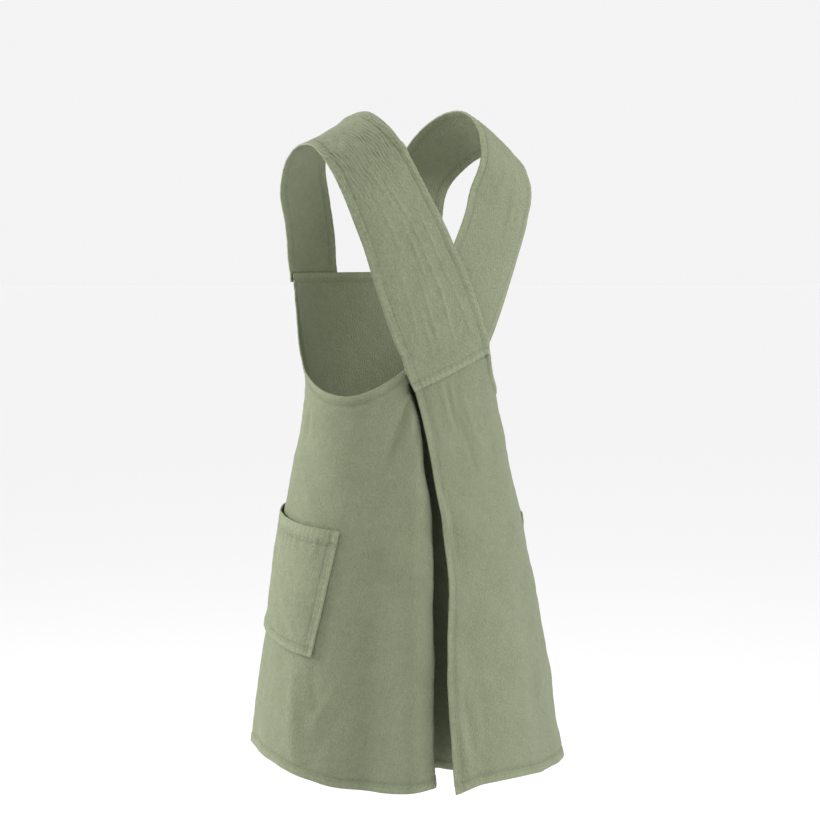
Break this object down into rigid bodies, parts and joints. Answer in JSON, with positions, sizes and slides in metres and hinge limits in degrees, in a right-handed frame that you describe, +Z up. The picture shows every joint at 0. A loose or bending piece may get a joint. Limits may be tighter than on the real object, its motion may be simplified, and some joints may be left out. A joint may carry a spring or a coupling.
{
  "type": "cross back apron",
  "caption": "Cloth work apron in its worn form, with wide straps that cross on the back, wings that lap behind and a patch pocket on each hip.",
  "frame": {"origin": "mount shoulder_rest: midway between the wearer's shoulders, at the height of the straps' top", "axes": "+Z up, the wearer faces -Y, +X towards the wearer's left"},
  "size_m": [0.4512, 0.3959, 0.9076],
  "materials": {
    "cloth": "matte washed cotton, sage green"
  },
  "bodies": {
    "root": {"body_panel": "cloth", "strap_left": "cloth", "strap_right": "cloth", "pocket_left": "cloth", "pocket_right": "cloth"}
  },
  "joints": []
}
